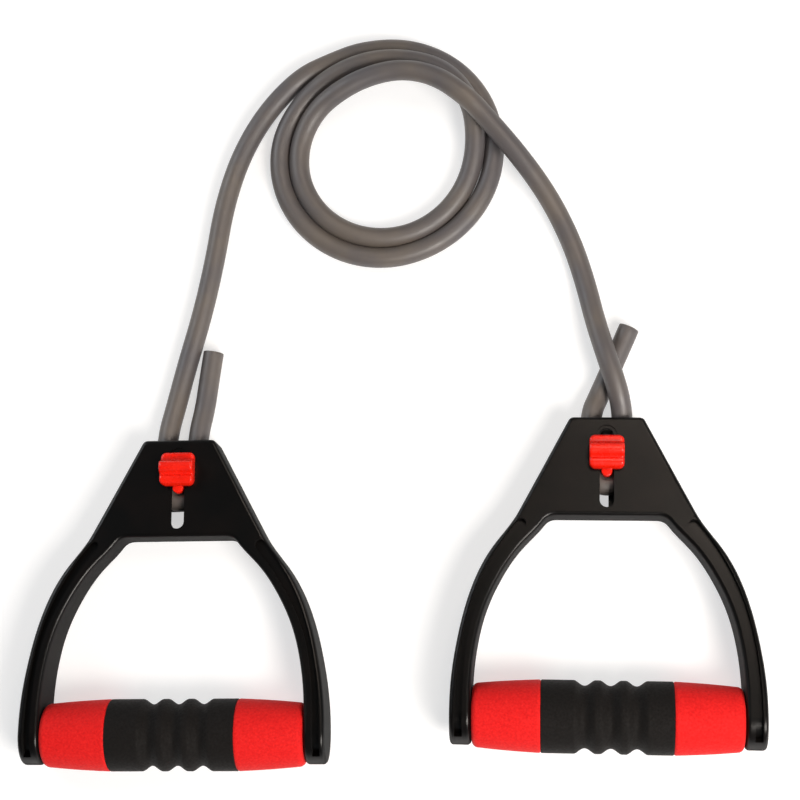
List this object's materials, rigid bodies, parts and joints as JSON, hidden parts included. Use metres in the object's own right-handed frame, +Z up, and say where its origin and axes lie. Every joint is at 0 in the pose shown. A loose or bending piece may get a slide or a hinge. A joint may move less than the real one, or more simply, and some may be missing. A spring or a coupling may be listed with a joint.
{
  "type": "resistance band",
  "caption": "Adjustable exercise tube with two D-shaped foam grip handles; each handle has a sliding button that locks the rubber tube running through it.",
  "frame": {"origin": "centre of the two handles' common box, on the ground", "axes": "+Z up, square to the ground the band lies on; +X from the left handle to the right one; +Y from the grips towards the looped tube"},
  "size_m": [0.3301, 0.3434, 0.032],
  "materials": {
    "frame_plastic": "semi-gloss black moulded plastic",
    "slider_plastic": "glossy red plastic",
    "screw_steel": "zinc plated steel",
    "core_plastic": "plain black plastic tube",
    "bush_plastic": "plain black nylon",
    "red_foam": "matte closed cell foam",
    "black_foam": "matte closed cell foam",
    "tube_rubber": "satin warm grey rubber tube"
  },
  "bodies": {
    "band": {"left_frame": "frame_plastic", "right_frame": "frame_plastic", "left_tube_run": "tube_rubber", "right_tube_run": "tube_rubber", "left_tube_tail": "tube_rubber", "right_tube_tail": "tube_rubber", "tube_ring": "tube_rubber"},
    "left_slider": {"left_slider_button": "slider_plastic", "left_slider_plate": "slider_plastic", "left_slider_screw": "screw_steel", "left_tube_bend": "tube_rubber"},
    "left_grip": {"left_grip_tube": "core_plastic", "left_grip_bushes": "bush_plastic", "left_foam_left": "red_foam", "left_foam_middle": "black_foam", "left_foam_right": "red_foam"},
    "right_slider": {"right_slider_button": "slider_plastic", "right_slider_plate": "slider_plastic", "right_slider_screw": "screw_steel", "right_tube_bend": "tube_rubber"},
    "right_grip": {"right_grip_tube": "core_plastic", "right_grip_bushes": "bush_plastic", "right_foam_left": "red_foam", "right_foam_middle": "black_foam", "right_foam_right": "red_foam"}
  },
  "joints": [
    {"name": "left_slider_slide", "type": "slide", "parent": "band", "child": "left_slider", "axis": [0.007, -0.9984, 0.0563], "range_m": [0, 0.006]},
    {"name": "left_grip_spin", "type": "hinge", "parent": "band", "child": "left_grip", "pos_m": [-0.0964, -0.0626, 0.016], "axis": [1, 0.007, 0], "continuous": true},
    {"name": "right_slider_slide", "type": "slide", "parent": "band", "child": "right_slider", "axis": [-0.0166, -0.9983, 0.0563], "range_m": [0, 0.006]},
    {"name": "right_grip_spin", "type": "hinge", "parent": "band", "child": "right_grip", "pos_m": [0.096, -0.0544, 0.016], "axis": [0.9999, -0.0166, 0], "continuous": true}
  ]
}
